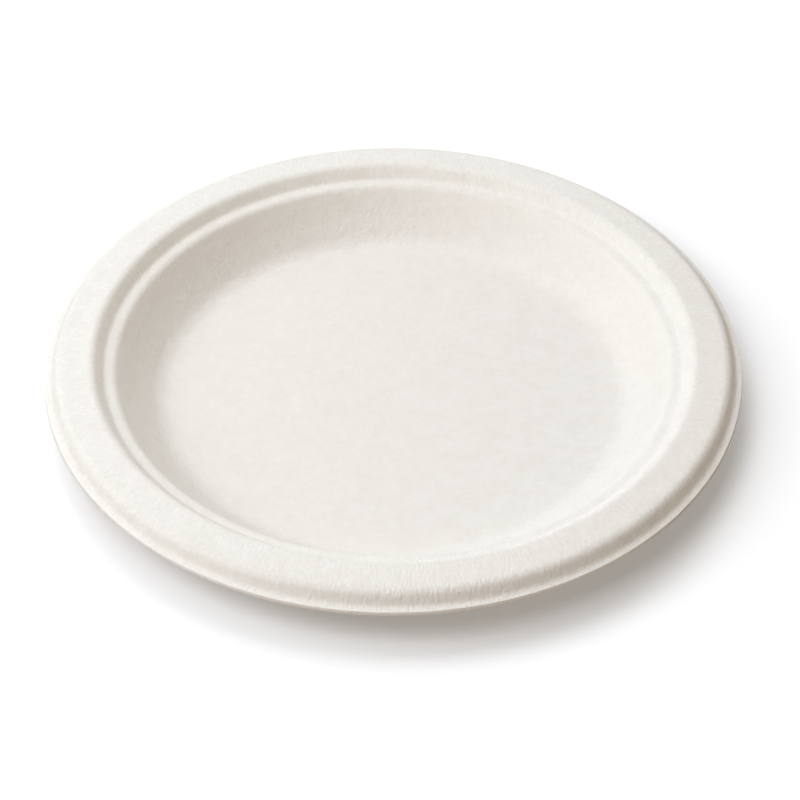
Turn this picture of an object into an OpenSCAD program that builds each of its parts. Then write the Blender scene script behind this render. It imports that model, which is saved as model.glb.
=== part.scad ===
// Round moulded-pulp plate, pressed in one piece from sugarcane fibre.
// It stands on the flat underside of its floor. The origin is the centre of that underside, +Z up.
// One outline of the top face is turned about Z, and the underside follows it one wall below.

/* [Plate] */
// Diameter over the trimmed edge of the lip
plate_d = 230; // [190:1:280]
// Height of the highest line of the rim above the table
plate_h = 20; // [18:0.5:28]
// Thickness of the pressed pulp, the same all over
wall_t = 1; // [0.5:0.05:1.3]

/* [Lip] */
// Width of the narrow lip outside the skirt
lip_w = 2.1; // [1.5:0.1:6]
// How far the lip falls towards its trimmed edge
lip_fall = 0.5; // [0:0.1:1.2]

/* [Skirt] */
// Height of the skirt that drops from the rim to the lip
skirt_h = 4; // [3:0.1:8]
// Slope of the skirt, in degrees from level
skirt_slope = 58; // [48:0.5:75]
// Bend between the skirt and the lip, on the inside of the bend
skirt_bend_r = 2.2; // [0.3:0.1:3]
// Bend of the shoulder between the rim and the skirt, on the inside of the bend
shoulder_bend_r = 2.9; // [1:0.1:4]

/* [Rim] */
// Width of the rim between its two corners
rim_w = 11.7; // [7:0.1:20]
// How far the rim falls towards the shoulder
rim_fall = 1.1; // [0:0.1:2]
// Bend of the rim's inner edge, on the inside of the bend
rim_bend_r = 2.3; // [0.8:0.1:4]

/* [Stacking ledge] */
// Height of the step between the ledge and the rim
step_h = 4.2; // [2.8:0.1:6]
// Slope of the step, in degrees from level
step_slope = 51; // [40:1:62]
// Bend at the foot of the step, on the inside of the bend
step_bend_r = 2.2; // [0.5:0.1:3]
// Width of the ledge between its two corners
ledge_w = 3.5; // [2.8:0.1:6]
// How far the ledge falls towards the well
ledge_fall = 0.4; // [0.1:0.1:1.4]
// Bend where the ledge turns down into the well, on the inside of the bend
ledge_bend_r = 2.4; // [1:0.1:4]

/* [Well] */
// Slope of the side wall halfway up, in degrees from level
wall_slope = 46.5; // [38:0.5:54]
// How much steeper the side wall is at its top than at its foot, in degrees
wall_curl = 11; // [4:0.5:14]
// Bend halfway up the side wall, on the inside of the bend
wall_bend_r = 55; // [20:1:60]
// Bend between the floor and the side wall, on the inside of the bend
floor_bend_r = 9.7; // [4:0.1:12]

/* [Hidden] */

// Most degrees that one flat of a bend turns through
bend_flat = 5;
// Sides of the turned body
turn_sides = 144;
pulp = "#f0ede7";

// Outside radius of the bend at the rim's inner edge, and what it takes off the corner's height
rim_edge_r = rim_bend_r + wall_t;
rim_dip = atan(rim_fall / rim_w);
crown_cut = rim_edge_r * (cos((step_slope - rim_dip) / 2) / cos((step_slope + rim_dip) / 2) - 1);

// Corners of the top face before they are rounded, each from its neighbour
rim_y = plate_h + crown_cut;
shoulder_y = rim_y - rim_fall;
lip_in = [plate_d / 2 - lip_w, shoulder_y - skirt_h];
lip_edge = lip_in + [lip_w, -lip_fall];
shoulder = lip_in + skirt_h * [-1 / tan(skirt_slope), 1];
rim_in = shoulder + [-rim_w, rim_fall];
step_foot = rim_in - step_h * [1 / tan(step_slope), 1];
ledge_in = step_foot - [ledge_w, ledge_fall];
half_rise = (ledge_in.y - wall_t) / 2;
wall_mid = ledge_in - half_rise * [1 / tan(wall_slope + wall_curl / 2), 1];
floor_edge = wall_mid - half_rise * [1 / tan(wall_slope - wall_curl / 2), 1];
floor_mid = [0, wall_t];
corners = [floor_mid, floor_edge, wall_mid, ledge_in, step_foot, rim_in, shoulder, lip_in, lip_edge];
inside_r = [
    0, floor_bend_r, wall_bend_r, ledge_bend_r, step_bend_r, rim_bend_r, shoulder_bend_r, skirt_bend_r, 0
];
last = len(corners) - 1;

// Heading of the stretch that leaves corner i outwards, in degrees above level
function heading(i) =
    let (run = corners[i + 1] - corners[i])
    atan2(run.y, run.x);

// Corner i at a depth below the top face: square to both stretches, and straight down at the ends
function sunk(i, depth) =
    let (
        before = i == 0 ? 0 : heading(i - 1),
        after = i == last ? -before : heading(i),
        lean = (before + after) / 2
    )
    corners[i] + depth * [sin(lean), -cos(lean)] / cos((after - before) / 2);

// The arc that rounds corner i at that depth, as points
function bend(i, depth) =
    let (
        before = heading(i - 1),
        turn = heading(i) - before,
        side = sign(turn),
        r = inside_r[i] + (side > 0 ? depth : wall_t - depth),
        start = sunk(i, depth) - r * tan(abs(turn) / 2) * [cos(before), sin(before)],
        centre = start + side * r * [-sin(before), cos(before)],
        flats = ceil(abs(turn) / bend_flat)
    )
    [for (k = [0:flats])
        let (at = before + turn * k / flats)
        centre + side * r * [sin(at), -cos(at)]];

// One face of the wall from the centre to the trimmed edge
function face(depth) = [
    sunk(0, depth),
    for (i = [1:last - 1]) each bend(i, depth),
    sunk(last, depth)
];

function backwards(list) = [for (i = [len(list) - 1:-1:0]) list[i]];

module plate() {
    color(pulp)
    rotate_extrude($fn = turn_sides)
        polygon(concat(face(0), backwards(face(wall_t))));
}

plate();
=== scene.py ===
# Round moulded-pulp plate: the pressed sheet, its fibre finish, a soft studio and the camera.
# Sizes in the dictionaries are millimetres unless a note says otherwise. Blender's own are metres.
import math

import bpy
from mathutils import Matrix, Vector


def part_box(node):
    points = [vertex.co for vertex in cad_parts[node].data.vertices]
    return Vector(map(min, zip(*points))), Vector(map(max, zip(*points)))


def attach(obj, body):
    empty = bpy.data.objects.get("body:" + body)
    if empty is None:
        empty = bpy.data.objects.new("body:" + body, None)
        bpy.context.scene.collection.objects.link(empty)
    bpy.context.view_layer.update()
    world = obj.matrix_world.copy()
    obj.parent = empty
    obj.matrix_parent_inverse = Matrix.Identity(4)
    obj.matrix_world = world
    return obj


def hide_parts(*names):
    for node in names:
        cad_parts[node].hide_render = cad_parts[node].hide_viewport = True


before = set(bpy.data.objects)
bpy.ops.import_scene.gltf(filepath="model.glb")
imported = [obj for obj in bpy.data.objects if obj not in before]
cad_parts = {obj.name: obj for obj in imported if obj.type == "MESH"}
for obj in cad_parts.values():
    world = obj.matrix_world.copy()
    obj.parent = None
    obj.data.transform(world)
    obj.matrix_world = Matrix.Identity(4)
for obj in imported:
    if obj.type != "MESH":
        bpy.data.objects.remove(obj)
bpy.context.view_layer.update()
mm = 0.001
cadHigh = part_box("plate")[1]


def linearColour(hexText):
    channels = [int(hexText[i:i + 2], 16) / 255 for i in (1, 3, 5)]
    return [c / 12.92 if c <= 0.04045 else ((c + 0.055) / 1.055) ** 2.4 for c in channels] + [1.0]


def addNode(tree, kind, inputs=(), **settings):
    # inputs: a list in the sockets' order, or a dictionary by socket name. Each is a value to set,
    # an output to link, or a node to link by its first output.
    node = tree.nodes.new(kind)
    for name, value in settings.items():
        setattr(node, name, value)
    for key, value in (inputs if isinstance(inputs, dict) else dict(enumerate(inputs))).items():
        if isinstance(value, bpy.types.Node):
            value = next(output for output in value.outputs if output.enabled)
        if isinstance(value, bpy.types.NodeSocket):
            tree.links.new(value, node.inputs[key])
        else:
            node.inputs[key].default_value = value
    return node


# Camera and studio

view = {
    "elevation": 42.08,             # degrees above the table
    "distance": 900,
    "lens": 121.2,                  # a long lens, so the far rim is hardly smaller than the near one
    "aim": (2.2, -4.2, 0),          # point of the table in the middle of the picture
    "nearest": 50,                  # nothing closer to the camera than this is drawn
}

studio = {
    # round panels: degrees anticlockwise from +X, degrees up, distance, light on the plate in W/m2,
    # and colour
    "lamps": {
        "left key, far side": (135, 60, 1600, 0.80, "#f3f7ff"),
        "left key, near side": (225, 60, 1600, 1.00, "#fefdff"),
        "left": (180, 35, 1600, 1.32, "#f3f8ff"),
        "high at the back": (90, 60, 3000, 0.66, "#f9fbff"),
        "back": (90, 35, 3000, 0.28, "#ebf2ff"),
        "low at the back right": (60, 12, 3000, 0.73, "#fffdfb"),
        "low at the right": (0, 12, 3000, 0.29, "#ffd9a4"),
        "low at the front": (270, 12, 3000, 0.73, "#fff3e9"),
    },
    "softness": 36,                 # each panel is this many degrees across, seen from the plate
    "tableSize": 3000,
    "tableColour": "#b3a89d",       # as it lights the plate from below, dimmer and warmer than it looks
    "tableSeen": 0.85,              # share of the table's own shading that the camera sees
    # added for the camera alone, which takes the table up to white
    "tableLift": (0.233, 0.229, 0.217),
    "liftNear": 220,                # from here outwards the lift grows, as the lamps' light falls off
    "liftFar": 1200,
    "liftGrowth": 4,                # times the lift at the middle
}


def makeCamera():
    camera = bpy.data.objects.new("camera", bpy.data.cameras.new("camera"))
    bpy.context.scene.collection.objects.link(camera)
    up = math.radians(view["elevation"])
    camera.location = Vector((0, -math.cos(up), math.sin(up))) * view["distance"] * mm
    ahead = Vector(view["aim"]) * mm - camera.location
    camera.rotation_euler = ahead.to_track_quat("-Z", "Y").to_euler()
    camera.data.lens = view["lens"]
    camera.data.clip_start = view["nearest"] * mm
    bpy.context.scene.camera = camera
    bpy.context.scene.view_settings.view_transform = "Standard"


def makeLamps():
    for name, (turn, rise, away, light, colour) in studio["lamps"].items():
        lamp = bpy.data.objects.new(name, bpy.data.lights.new(name, "AREA"))
        bpy.context.scene.collection.objects.link(lamp)
        lamp.rotation_euler = (math.radians(90 - rise), 0, math.radians(turn + 90))
        lamp.location = lamp.rotation_euler.to_matrix() @ Vector((0, 0, away * mm))
        lamp.data.shape = "DISK"
        half = math.radians(studio["softness"] / 2)
        lamp.data.size = 2 * away * mm * math.tan(half)
        lamp.data.energy = light * math.pi * (away * mm / math.cos(half)) ** 2
        lamp.data.color = linearColour(colour)[:3]


def makeWorld():
    world = bpy.data.worlds.new("studio")
    bpy.context.scene.world = world
    world.use_nodes = True
    tree = world.node_tree
    tree.nodes.clear()
    # white for the camera alone, so that the lamps do all the lighting
    looking = addNode(tree, "ShaderNodeLightPath").outputs["Is Camera Ray"]
    white = addNode(tree, "ShaderNodeBackground", {"Color": (1, 1, 1, 1), "Strength": looking})
    addNode(tree, "ShaderNodeOutputWorld", {"Surface": white})


def makeTable():
    half = studio["tableSize"] / 2 * mm
    mesh = bpy.data.meshes.new("table")
    corners = [(-half, -half, 0), (half, -half, 0), (half, half, 0), (-half, half, 0)]
    mesh.from_pydata(corners, [], [(0, 1, 2, 3)])
    table = bpy.data.objects.new("table", mesh)
    bpy.context.scene.collection.objects.link(table)
    material = bpy.data.materials.new("matt white table")
    material.use_nodes = True
    tree = material.node_tree
    tree.nodes.clear()
    seen = studio["tableSeen"]
    plain = addNode(tree, "ShaderNodeBsdfDiffuse", {"Color": linearColour(studio["tableColour"])})
    shaded = addNode(tree, "ShaderNodeBsdfDiffuse", {"Color": (seen, seen, seen, 1)})
    place = addNode(tree, "ShaderNodeTexCoord").outputs["Object"]
    away = addNode(tree, "ShaderNodeVectorMath", [place], operation="LENGTH")
    near = studio["liftNear"] * mm
    far = studio["liftFar"] * mm
    grown = addNode(tree, "ShaderNodeMapRange", [away, near, far, 1.0, studio["liftGrowth"]])
    lift = addNode(tree, "ShaderNodeEmission", {"Color": (*studio["tableLift"], 1), "Strength": grown})
    bright = addNode(tree, "ShaderNodeAddShader", [shaded, lift])
    looking = addNode(tree, "ShaderNodeLightPath").outputs["Is Camera Ray"]
    above = addNode(tree, "ShaderNodeMixShader", [looking, plain, bright])
    # from below the table is clear, so that the plate's underside can be looked at
    below = addNode(tree, "ShaderNodeNewGeometry").outputs["Backfacing"]
    clear = addNode(tree, "ShaderNodeBsdfTransparent")
    both = addNode(tree, "ShaderNodeMixShader", [below, above, clear])
    addNode(tree, "ShaderNodeOutputMaterial", {"Surface": both})
    mesh.materials.append(material)


makeCamera()
makeLamps()
makeWorld()
makeTable()
print("studio and camera made")


# Moulded sugarcane pulp

pulp = {
    "colour": "#eeeae2",            # warm off-white
    "paintedRimLight": "#f5f2ea",         # painted light: a little lighter where the sheet is drawn out, over the rim, skirt and lip
    "bareShade": "#dcd5ca",         # barer places between the fibres
    "fleckShade": "#a8977c",        # bits of cane skin
    "paintedEdgeLight": "#f3efe8",          # painted highlight: the trimmed edge and the crest of lip beside it, lighter than the sheet
    "roughness": 0.85,
    "ior": 1.5,
    # patterns: across the coarsest patches, rounds of finer ones on them, how strong those stay
    "clump": (2.4, 4, 0.7),         # mottle of the floor
    "bundle": (0.85, 3, 0.7),       # streaks where the sheet is drawn out, measured across the fibres
    "cloud": (7, 2, 0.5),           # thick and thin patches
    # levels of the patterns that count as bare and as well covered
    "fibreLevels": (0.3, 0.75),
    "cloudLevels": (0.3, 0.7),
    # how far a bare place goes towards the bare shade
    "fibreShade": (0.32, 0.42),     # in the mottle, and in the streaks
    "cloudShade": 0.12,
    "fleckGap": 11,
    "fleckSize": 0.3,
    "fleckStrength": 0.4,           # how far a fleck goes towards its own shade
    # relief of the fibres: between two radii it changes by so much, up where the sheet is stretched
    # and down along the rim, which is pressed harder
    "relief": [(0, 1, 0.22), (70, 80, 0.23), (86, 97, -0.17), (105, 110, 0.12)],
    # the forming screen's mesh is about 0.5, too fine to show, so it is drawn twice as coarse
    "screenPitch": 1.1,
    "screenRelief": 0.05,
}


def pulpMaterial():
    # Sugarcane pulp, hot-pressed: matt all over, with a fine mottle on the floor and
    # fibres drawn out into streaks where the sheet was pulled over the rim.
    # painted light makes the drawn-out band and the trimmed edge a little lighter than the rest of the
    # sheet
    material = bpy.data.materials.new("hot-pressed sugarcane pulp")
    material.use_nodes = True
    tree = material.node_tree
    tree.nodes.clear()
    place = addNode(tree, "ShaderNodeTexCoord").outputs["Object"]
    inMm = addNode(tree, "ShaderNodeMapping", {"Vector": place, "Scale": (1 / mm, 1 / mm, 1 / mm)})
    fibreRun = addNode(tree, "ShaderNodeAttribute", attribute_name="fibreRun").outputs["Vector"]
    drawn = addNode(tree, "ShaderNodeAttribute", attribute_name="drawn").outputs["Fac"]
    # the band at the cut edge, which takes the painted highlight
    cutEdge = addNode(tree, "ShaderNodeAttribute", attribute_name="cutEdge").outputs["Fac"]
    underside = addNode(tree, "ShaderNodeAttribute", attribute_name="underside").outputs["Fac"]

    # fibres: the mottle gives way to streaks, and both lie on thick and thin patches
    pattern = {}
    for name, where in (("clump", inMm), ("bundle", fibreRun), ("cloud", inMm)):
        size, detail, roughness = pulp[name]
        inputs = {"Vector": where, "Scale": 1 / size, "Detail": detail, "Roughness": roughness}
        pattern[name] = addNode(tree, "ShaderNodeTexNoise", inputs)
    mottle = pattern["clump"]
    cloud = pattern["cloud"]
    fibre = addNode(tree, "ShaderNodeMix", {"Factor": drawn, "A": mottle, "B": pattern["bundle"]})
    sparse = addNode(tree, "ShaderNodeMapRange", [fibre, *pulp["fibreLevels"], 1.0, 0.0])
    share = addNode(tree, "ShaderNodeMapRange", [drawn, 0.0, 1.0, *pulp["fibreShade"]])
    between = addNode(tree, "ShaderNodeMath", [sparse, share], operation="MULTIPLY")
    patch = addNode(tree, "ShaderNodeMapRange", [cloud, *pulp["cloudLevels"], pulp["cloudShade"], 0.0])
    bare = addNode(tree, "ShaderNodeMath", [between, patch], operation="ADD")

    # flecks: a small dot at the middle of some cells, bent out of round by the mottle
    bent = addNode(tree, "ShaderNodeVectorMath", [mottle.outputs["Color"], inMm], operation="ADD")
    cell = addNode(tree, "ShaderNodeTexVoronoi", {"Vector": bent, "Scale": 1 / pulp["fleckGap"]})
    dot = pulp["fleckSize"] / pulp["fleckGap"]
    fleck = addNode(tree, "ShaderNodeMapRange", [cell, dot / 2, dot, pulp["fleckStrength"], 0.0])

    # each shade lies over the ones before it; the drawn-out band's and the trimmed edge's are painted
    # light
    finished = linearColour(pulp["colour"])
    for factor, shade in ((drawn, "paintedRimLight"), (bare, "bareShade"), (fleck, "fleckShade"),
                          (cutEdge, "paintedEdgeLight")):
        layers = {"Factor": factor, "A": finished, "B": linearColour(pulp[shade])}
        finished = addNode(tree, "ShaderNodeMix", layers, data_type="RGBA")

    # relief in millimetres: the fibres, and underneath the mesh of the screen that formed the pulp
    level = addNode(tree, "ShaderNodeVectorMath", [inMm, (1, 1, 0)], operation="MULTIPLY")
    radius = addNode(tree, "ShaderNodeVectorMath", [level], operation="LENGTH")
    height = 0.0
    for near, far, change in pulp["relief"]:
        step = addNode(tree, "ShaderNodeMapRange", [radius, near, far, 0.0, change])
        height = addNode(tree, "ShaderNodeMath", [height, step], operation="ADD")
    fibres = addNode(tree, "ShaderNodeMath", [fibre, height], operation="MULTIPLY")
    across = addNode(tree, "ShaderNodeSeparateXYZ", [inMm]).outputs
    screen = underside
    for axis in ("X", "Y"):
        turned = addNode(tree, "ShaderNodeMath", [across[axis], math.tau / pulp["screenPitch"]],
                         operation="MULTIPLY")
        wires = addNode(tree, "ShaderNodeMath", [turned], operation="SINE")
        screen = addNode(tree, "ShaderNodeMath", [screen, wires], operation="MULTIPLY")
    imprint = addNode(tree, "ShaderNodeMath", [screen, pulp["screenRelief"]], operation="MULTIPLY")
    relief = addNode(tree, "ShaderNodeMath", [fibres, imprint], operation="ADD")
    bump = addNode(tree, "ShaderNodeBump", {"Height": relief, "Strength": 1.0, "Distance": mm})
    inputs = {"Base Color": finished, "Roughness": pulp["roughness"], "IOR": pulp["ior"], "Normal": bump}
    surface = addNode(tree, "ShaderNodeBsdfPrincipled", inputs)
    addNode(tree, "ShaderNodeOutputMaterial", {"Surface": surface})
    return material


# The plate: a section with rounded corners, turned once round

plate = {
    # the same sizes as the solid's, with slopes in degrees from level and bends on their inside
    "wall": 1.0,
    "lipWidth": 2.1, "lipFall": 0.5,
    "skirtHeight": 4.0, "skirtSlope": 58, "skirtBend": 2.2, "shoulderBend": 2.9,
    "rimWidth": 11.7, "rimFall": 1.1, "rimBend": 2.3,
    "stepHeight": 4.2, "stepSlope": 51, "stepBend": 2.2,
    "ledgeWidth": 3.5, "ledgeFall": 0.4, "ledgeBend": 2.4,
    "wallSlope": 46.5, "wallCurl": 11, "wallBend": 55.0, "floorBend": 9.7,
    # the trimmed edge
    "edgeBend": 0.15,               # its corners are worn this round
    "edgeSlant": 0.2,               # the cut slants, so its upper corner stands back this much
    "edgeSwell": 0.25,              # and the cut opens the sheet, which is this much thicker there
    "frayAndHighlightWidth": 0.9,                # width of lip that turns ragged and takes the edge's painted highlight
    # the mesh
    "columns": 640,                 # points once round
    "bendFlat": 5,                  # degrees to one flat of a bend
    "leastFlat": 0.4,               # but no flat shorter than this
    "fewestFlats": 3,               # in any bend, even where they come out shorter
    "ringGap": 1.4,                 # most room between two rings
    "floorRingGap": 5.0,
    "underCoarser": 2,              # the underside needs fewer rings
    "mergeGap": 0.002,              # points this close become one, at the seam and at both centres
    # the fibres
    "drawnFrom": 86,                # radii between which the mottle gives way to streaks
    "drawnFull": 97,
    "streakRadius": 100,            # the streaks' width is true at this radius
    "streakStretch": 2.4,           # and they are this many times as long
    # the sheet is never quite even: size of the waves, how deep they go, and their random seed
    "unevenness": {
        "wave": (14, 0.12, 4),      # up and down
        "sway": (18, 0.06, 11),     # in and out
        "fray": (1.3, 0.08, 17),    # in and out at the cut edge alone
    },
    "unevenDetail": 1.0,            # rounds of finer waves on them
}


def sectionCorners():
    # the top face from the middle outwards, as (radius, height), and each corner's bend
    p = plate

    def run(rise, degrees):
        return rise / math.tan(math.radians(degrees))

    top = cadHigh.z / mm
    edge = cadHigh.x / mm
    dip = math.atan(p["rimFall"] / p["rimWidth"])
    step = math.radians(p["stepSlope"])
    # what the rim's inner bend takes off the height of its corner
    crown = (p["rimBend"] + p["wall"]) * (math.cos((step - dip) / 2) / math.cos((step + dip) / 2) - 1)
    shoulderZ = top + crown - p["rimFall"]
    lipIn = (edge - p["lipWidth"], shoulderZ - p["skirtHeight"])
    lipEdge = (edge, lipIn[1] - p["lipFall"])
    shoulder = (lipIn[0] - run(p["skirtHeight"], p["skirtSlope"]), shoulderZ)
    rimIn = (shoulder[0] - p["rimWidth"], shoulderZ + p["rimFall"])
    foot = (rimIn[0] - run(p["stepHeight"], p["stepSlope"]), rimIn[1] - p["stepHeight"])
    ledge = (foot[0] - p["ledgeWidth"], foot[1] - p["ledgeFall"])
    half = (ledge[1] - p["wall"]) / 2
    middle = (ledge[0] - run(half, p["wallSlope"] + p["wallCurl"] / 2), ledge[1] - half)
    floor = (middle[0] - run(half, p["wallSlope"] - p["wallCurl"] / 2), p["wall"])
    corners = [(0, p["wall"]), floor, middle, ledge, foot, rimIn, shoulder, lipIn, lipEdge]
    bends = [0, p["floorBend"], p["wallBend"], p["ledgeBend"], p["stepBend"], p["rimBend"],
             p["shoulderBend"], p["skirtBend"], p["edgeBend"]]
    return corners, bends


def sectionLine():
    # both faces as one line: out along the top, round the cut edge and back underneath
    corners, bends = sectionCorners()
    last = len(corners) - 1
    headings = [math.atan2(b[1] - a[1], b[0] - a[0]) for a, b in zip(corners, corners[1:])]
    # rows of radius, height, bend, turn, and 0 on the top face or 1 on the underside
    top = []
    under = []
    for i, (r, z) in enumerate(corners):
        before = headings[i - 1] if i else 0
        after = headings[i] if i < last else -before
        turn = after - before
        lean = (before + after) / 2
        # the same corner one wall deeper, square to the stretches on both its sides
        thick = plate["wall"] + (plate["edgeSwell"] if i == last else 0)
        depth = thick / math.cos(turn / 2)
        sunk = (r + depth * math.sin(lean), z - depth * math.cos(lean))
        outside = bends[i] + plate["wall"]
        if i == last:
            # the cut runs between two corners, of which the upper one stands back
            back = plate["edgeSlant"]
            top.append((r - back, z - back * math.tan(before), bends[i], -math.pi / 2 - before, 0))
            under.append((*sunk, bends[i], -math.pi / 2 + before, 1))
        elif turn > 0:
            top.append((r, z, bends[i], turn, 0))
            under.append((*sunk, outside, turn, 1))
        else:
            top.append((r, z, outside, turn, 0))
            under.append((*sunk, bends[i], turn, 1))
    line = top + under[::-1]
    floors = (0, len(line) - 2)     # the two stretches across the floor
    kept = {"bend": ("FLOAT", []), "flats": ("INT", []), "gap": ("FLOAT", []), "underside": ("FLOAT", [])}
    for i, (r, z, bend, turn, side) in enumerate(line):
        coarser = plate["underCoarser"] if side else 1
        flat = max(math.radians(plate["bendFlat"]), plate["leastFlat"] / max(bend, plate["leastFlat"]))
        gap = plate["floorRingGap"] if i in floors else plate["ringGap"] * coarser
        kept["bend"][1].append(bend * mm)
        kept["flats"][1].append(max(plate["fewestFlats"], math.ceil(abs(turn) / flat / coarser)))
        kept["gap"][1].append(gap * mm)
        kept["underside"][1].append(side)
    mesh = bpy.data.meshes.new("section")
    points = [(r * mm, 0, z * mm) for r, z, *rest in line]
    mesh.from_pydata(points, [(i, i + 1) for i in range(len(line) - 1)], [])
    for name, (kind, values) in kept.items():
        mesh.attributes.new(name, kind, "POINT").data.foreach_set("value", values)
    return mesh


def turnedSheet(material):
    tree = bpy.data.node_groups.new("turned sheet", "GeometryNodeTree")
    tree.interface.new_socket("Geometry", in_out="OUTPUT", socket_type="NodeSocketGeometry")
    tree.interface.new_socket("section", in_out="INPUT", socket_type="NodeSocketGeometry")
    sizes = {"columns": ("NodeSocketInt", plate["columns"]), "material": ("NodeSocketMaterial", material)}
    for name, (size, depth, seed) in plate["unevenness"].items():
        sizes[name + " size"] = ("NodeSocketFloat", size * mm)
        sizes[name + " depth"] = ("NodeSocketFloat", depth * mm)
        sizes[name + " seed"] = ("NodeSocketInt", seed)
    keys = {name: tree.interface.new_socket(name, in_out="INPUT", socket_type=kind).identifier
            for name, (kind, value) in sizes.items()}
    given = addNode(tree, "NodeGroupInput").outputs
    here = addNode(tree, "GeometryNodeInputPosition")
    index = addNode(tree, "GeometryNodeInputIndex")
    kinds = {"bend": "FLOAT", "flats": "INT", "gap": "FLOAT", "underside": "FLOAT", "along": "FLOAT"}
    kept = {name: addNode(tree, "GeometryNodeInputNamedAttribute", {"Name": name}, data_type=kind)
            for name, kind in kinds.items()}

    # the section: corners become arcs, and long stretches get more points
    line = addNode(tree, "GeometryNodeMeshToCurve", {"Mesh": given["section"]})
    inputs = {"Curve": line, "Count": kept["flats"], "Radius": kept["bend"]}
    rounded = addNode(tree, "GeometryNodeFilletCurve", inputs, mode="POLY")
    inputs = {"Index": addNode(tree, "ShaderNodeMath", [index, 1.0], operation="ADD"), "Value": here}
    onward = addNode(tree, "GeometryNodeFieldAtIndex", inputs, data_type="FLOAT_VECTOR")
    stretch = addNode(tree, "ShaderNodeVectorMath", [here, onward], operation="DISTANCE")
    rooms = addNode(tree, "ShaderNodeMath", [stretch, kept["gap"]], operation="DIVIDE")
    cuts = addNode(tree, "ShaderNodeMath", [rooms], operation="FLOOR")
    ringed = addNode(tree, "GeometryNodeSubdivideCurve", {"Curve": rounded, "Cuts": cuts})
    along = addNode(tree, "GeometryNodeSplineParameter").outputs["Length"]
    inputs = {"Geometry": ringed, "Name": "along", "Value": along}
    section = addNode(tree, "GeometryNodeStoreNamedAttribute", inputs, data_type="FLOAT")
    counted = addNode(tree, "GeometryNodeAttributeDomainSize", {"Geometry": section}, component="CURVE")
    rings = counted.outputs["Point Count"]

    # a grid of columns and rings, with the first column again at the end. Half a point is added
    # before the division, so that rounding never puts a point in the column before its own.
    columns = addNode(tree, "ShaderNodeMath", [given["columns"], 1.0], operation="ADD")
    grid = addNode(tree, "GeometryNodeMeshGrid", {"Vertices X": columns, "Vertices Y": rings})
    inside = addNode(tree, "ShaderNodeMath", [index, 0.5], operation="ADD")
    passed = addNode(tree, "ShaderNodeMath", [inside, rings], operation="DIVIDE")
    column = addNode(tree, "ShaderNodeMath", [passed], operation="FLOOR")
    first = addNode(tree, "ShaderNodeMath", [column, rings], operation="MULTIPLY")
    ring = addNode(tree, "ShaderNodeMath", [index, first], operation="SUBTRACT")
    share = addNode(tree, "ShaderNodeMath", [column, given["columns"]], operation="DIVIDE")
    angle = addNode(tree, "ShaderNodeMath", [share, math.tau], operation="MULTIPLY")

    # each point goes to its ring's place on the section, turned to its column
    found = {}
    for name, value, kind in (("place", here, "FLOAT_VECTOR"), ("along", kept["along"], "FLOAT"),
                              ("underside", kept["underside"], "FLOAT")):
        inputs = {"Geometry": section, "Value": value, "Index": ring}
        found[name] = addNode(tree, "GeometryNodeSampleIndex", inputs, data_type=kind, domain="POINT")
    place = addNode(tree, "ShaderNodeSeparateXYZ", [found["place"]]).outputs
    east = addNode(tree, "ShaderNodeMath", [angle], operation="COSINE")
    north = addNode(tree, "ShaderNodeMath", [angle], operation="SINE")
    outward = addNode(tree, "ShaderNodeCombineXYZ", [east, north])
    flat = addNode(tree, "ShaderNodeVectorMath", {0: outward, "Scale": place["X"]}, operation="SCALE")
    lifted = addNode(tree, "ShaderNodeCombineXYZ", {"Z": place["Z"]})
    turned = addNode(tree, "ShaderNodeVectorMath", [flat, lifted], operation="ADD")

    # fibres run outwards: across them a true size, along them drawn out
    radius = plate["streakRadius"]
    around = addNode(tree, "ShaderNodeVectorMath", {0: outward, "Scale": radius}, operation="SCALE")
    longer = plate["streakStretch"] * mm
    drawnOut = addNode(tree, "ShaderNodeMath", [found["along"], longer], operation="DIVIDE")
    alongZ = addNode(tree, "ShaderNodeCombineXYZ", {"Z": drawnOut})
    fibreRun = addNode(tree, "ShaderNodeVectorMath", [around, alongZ], operation="ADD")
    inputs = [place["X"], plate["drawnFrom"] * mm, plate["drawnFull"] * mm]
    drawn = addNode(tree, "ShaderNodeMapRange", inputs, interpolation_type="SMOOTHSTEP")
    edge = cadHigh.x
    inputs = [place["X"], edge - plate["frayAndHighlightWidth"] * mm, edge - plate["edgeSlant"] * mm]
    cut = addNode(tree, "ShaderNodeMapRange", inputs, interpolation_type="SMOOTHSTEP")

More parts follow.
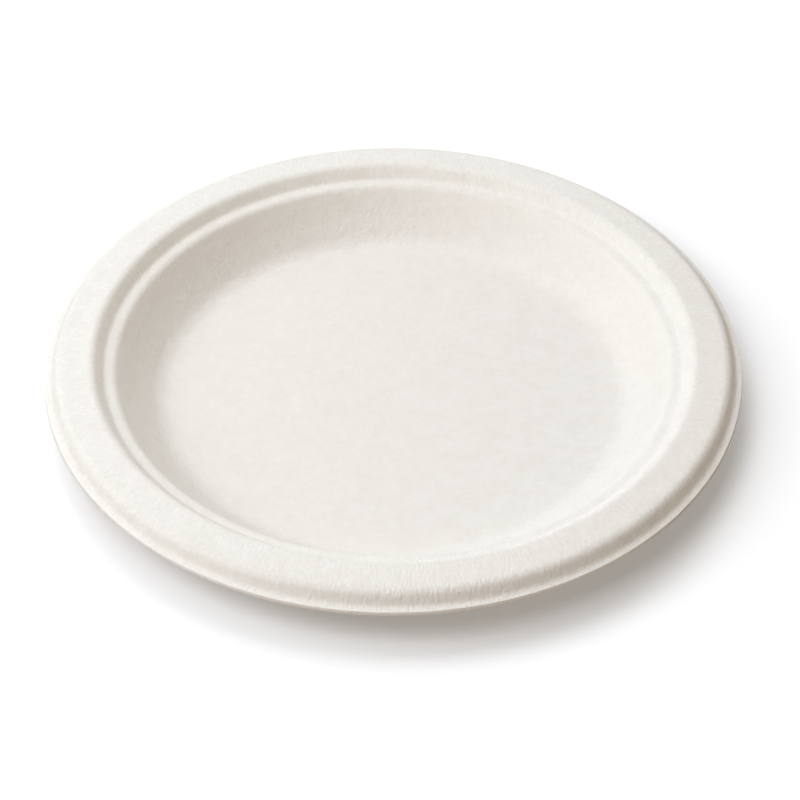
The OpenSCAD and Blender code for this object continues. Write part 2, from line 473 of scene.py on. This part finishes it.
    # unevenness: both faces move alike, so the wall keeps its thickness
    outline = addNode(tree, "ShaderNodeVectorMath", {0: outward, "Scale": edge}, operation="SCALE")
    moves = {}
    for name, where, share in (("wave", flat, drawn), ("sway", outline, drawn), ("fray", outline, cut)):
        scaled = addNode(tree, "ShaderNodeVectorMath", [where, given[name + " size"]], operation="DIVIDE")
        inputs = {"Vector": scaled, "W": given[name + " seed"], "Scale": 1.0}
        inputs["Detail"] = plate["unevenDetail"]
        noise = addNode(tree, "ShaderNodeTexNoise", inputs, noise_dimensions="4D")
        shared = addNode(tree, "ShaderNodeMath", [noise, share], operation="MULTIPLY")
        depth = given[name + " depth"]
        moves[name] = addNode(tree, "ShaderNodeMath", [shared, depth], operation="MULTIPLY")
    inward = addNode(tree, "ShaderNodeMath", [moves["sway"], moves["fray"]], operation="ADD")
    pulled = addNode(tree, "ShaderNodeVectorMath", {0: outward, "Scale": inward}, operation="SCALE")
    dropped = addNode(tree, "ShaderNodeCombineXYZ", {"Z": moves["wave"]})
    moved = addNode(tree, "ShaderNodeVectorMath", [pulled, dropped], operation="ADD")
    uneven = addNode(tree, "ShaderNodeVectorMath", [turned, moved], operation="SUBTRACT")

    # the attributes are kept first, because they read the grid's own numbering
    sheet = grid
    for name, value, kind in (("fibreRun", fibreRun, "FLOAT_VECTOR"), ("drawn", drawn, "FLOAT"),
                              ("cutEdge", cut, "FLOAT"), ("underside", found["underside"], "FLOAT")):
        inputs = {"Geometry": sheet, "Name": name, "Value": value}
        sheet = addNode(tree, "GeometryNodeStoreNamedAttribute", inputs, data_type=kind)
    sheet = addNode(tree, "GeometryNodeSetPosition", {"Geometry": sheet, "Position": uneven})
    together = plate["mergeGap"] * mm
    sheet = addNode(tree, "GeometryNodeMergeByDistance", {"Geometry": sheet, "Distance": together})
    sheet = addNode(tree, "GeometryNodeFlipFaces", {"Mesh": sheet})
    sheet = addNode(tree, "GeometryNodeSetShadeSmooth", {"Geometry": sheet})
    sheet = addNode(tree, "GeometryNodeRealizeInstances", {"Geometry": sheet})
    sheet = addNode(tree, "GeometryNodeSetMaterial", {"Geometry": sheet, "Material": given["material"]})
    addNode(tree, "NodeGroupOutput", [sheet])
    return tree, {keys[name]: value for name, (kind, value) in sizes.items()}


def makePlate():
    material = pulpMaterial()
    print("material made")
    drawn = bpy.data.objects.new("plateSheet", sectionLine())
    bpy.context.scene.collection.objects.link(drawn)
    tree, inputs = turnedSheet(material)
    modifier = drawn.modifiers.new("turned sheet", "NODES")
    modifier.node_group = tree
    for key, value in inputs.items():
        modifier[key] = value
    shape = drawn.evaluated_get(bpy.context.evaluated_depsgraph_get())
    mesh = bpy.data.meshes.new_from_object(shape)
    drawn.modifiers.clear()
    drawn.data = mesh
    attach(drawn, "root")
    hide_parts("plate")
    print("plate made:", len(mesh.vertices), "points,", len(mesh.polygons), "faces")


makePlate()
